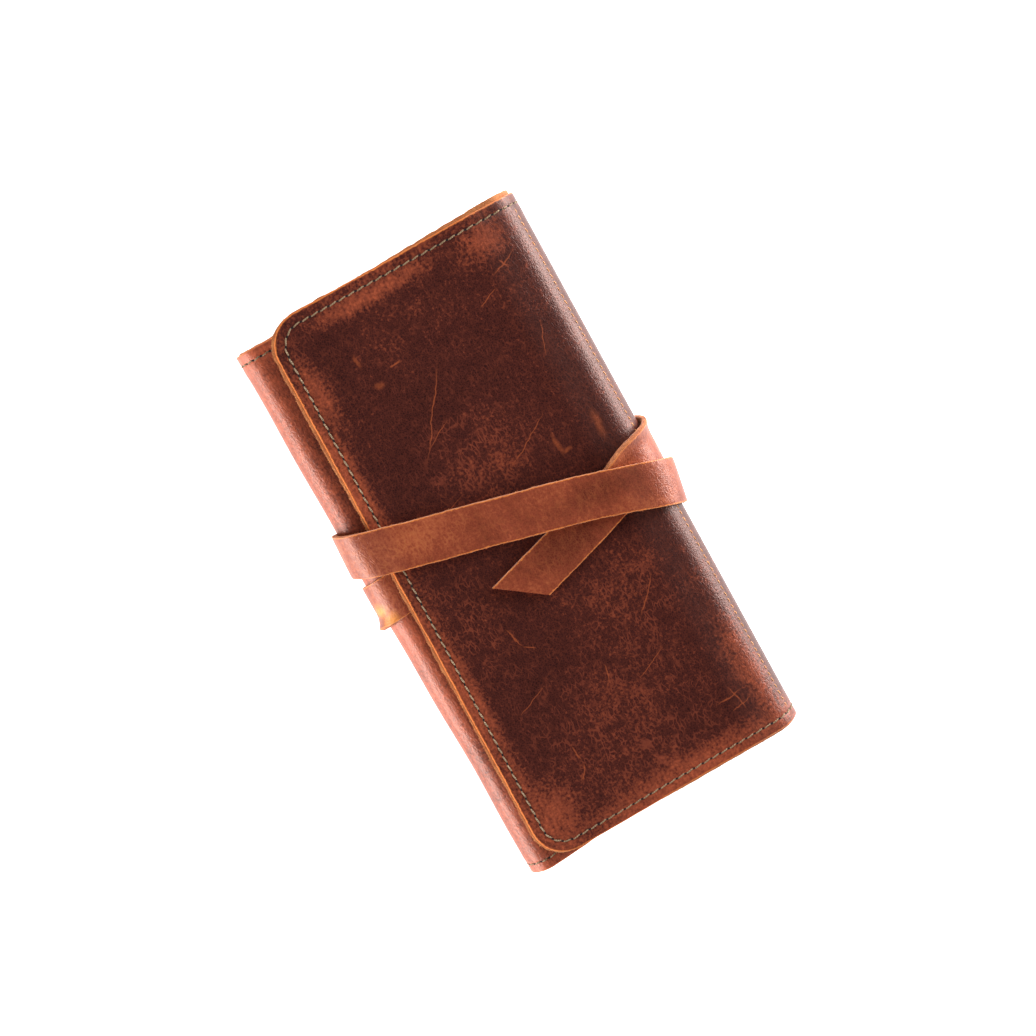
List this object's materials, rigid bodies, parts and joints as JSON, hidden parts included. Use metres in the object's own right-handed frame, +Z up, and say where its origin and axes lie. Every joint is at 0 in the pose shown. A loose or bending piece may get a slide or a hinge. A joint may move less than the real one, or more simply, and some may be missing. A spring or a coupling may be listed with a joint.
{
  "type": "brush roll case",
  "caption": "Folding leather case for artist's brushes: a flap and an inner leaf fold over a back with sewn slots, and a long strap wraps round to tie it shut.",
  "frame": {"origin": "middle of the underside: bottom centre of the closed case's box, on the surface it lies on", "axes": "+Z up through the closed case, +Y along its length towards the slots' mouths, +X across it towards the spine that the flap turns on"},
  "size_m": [0.1392, 0.254, 0.0333],
  "materials": {
    "outer_leather": "dark maroon-brown waxed pull-up leather with burnished orange-brown edges",
    "lining_leather": "orange-tan suede side with a fuzzy raw edge",
    "pocket_leather": "mid-brown matt leather",
    "strap_leather": "lighter orange-brown waxed leather with fuzzy raw edges",
    "edge_thread": "waxed taupe thread",
    "seam_thread": "fine waxed orange-brown thread"
  },
  "bodies": {
    "back": {"back_shell": "outer_leather", "back_lining": "lining_leather", "back_brush_pocket": "pocket_leather", "back_pocket_stitching": "edge_thread", "back_edge_stitching": "edge_thread", "strap_first_turn_under": "strap_leather", "strap_second_turn_under": "strap_leather"},
    "right_spine": {"right_spine_shell": "outer_leather", "right_spine_lining": "lining_leather", "right_spine_pocket_edge": "pocket_leather", "spine_seam_stitching": "seam_thread", "right_spine_edge_stitching": "edge_thread", "strap_first_turn_right_bend": "strap_leather", "strap_second_turn_right_bend": "strap_leather"},
    "flap": {"flap_shell": "outer_leather", "flap_lining": "lining_leather", "flap_slip_pocket": "pocket_leather", "flap_edge_stitching": "edge_thread", "strap_front_pass": "strap_leather", "strap_tail": "strap_leather"},
    "tail_tip": {"strap_tail_tip": "strap_leather"},
    "left_spine": {"left_spine_shell": "outer_leather", "left_spine_lining": "lining_leather", "left_spine_edge_stitching": "edge_thread", "strap_first_turn_left_bend": "strap_leather", "strap_second_turn_left_bend": "strap_leather"},
    "leaf": {"leaf_shell": "outer_leather", "leaf_lining": "lining_leather", "leaf_brush_pocket": "pocket_leather", "leaf_edge_stitching": "edge_thread", "leaf_pocket_stitching": "edge_thread", "strap_root": "strap_leather", "strap_anchor_stitching": "edge_thread"}
  },
  "joints": [
    {"name": "right_lower_fold", "type": "hinge", "parent": "back", "child": "right_spine", "pos_m": [0.06431, 0, 0.00399], "axis": [0, 1, 0], "range_deg": [0, 90]},
    {"name": "right_upper_fold", "type": "hinge", "parent": "right_spine", "child": "flap", "pos_m": [0.06573, 0, 0.02803], "axis": [0, 1, 0], "range_deg": [0, 90]},
    {"name": "left_lower_fold", "type": "hinge", "parent": "back", "child": "left_spine", "pos_m": [-0.06535, 0, 0.00295], "axis": [0, -1, 0], "range_deg": [0, 90]},
    {"name": "left_upper_fold", "type": "hinge", "parent": "left_spine", "child": "leaf", "pos_m": [-0.06535, 0, 0.02105], "axis": [0, -1, 0], "range_deg": [0, 90]},
    {"name": "tail_tip_lift", "type": "hinge", "parent": "flap", "child": "tail_tip", "pos_m": [0.0088, -0.0101, 0.0306], "axis": [-0.284, 0.9588, 0], "range_deg": [0, 70]}
  ],
  "couplings": [
    {"joint": "right_upper_fold", "follows": "right_lower_fold", "ratio": 1},
    {"joint": "left_lower_fold", "follows": "right_lower_fold", "ratio": 1},
    {"joint": "left_upper_fold", "follows": "right_lower_fold", "ratio": 1}
  ]
}
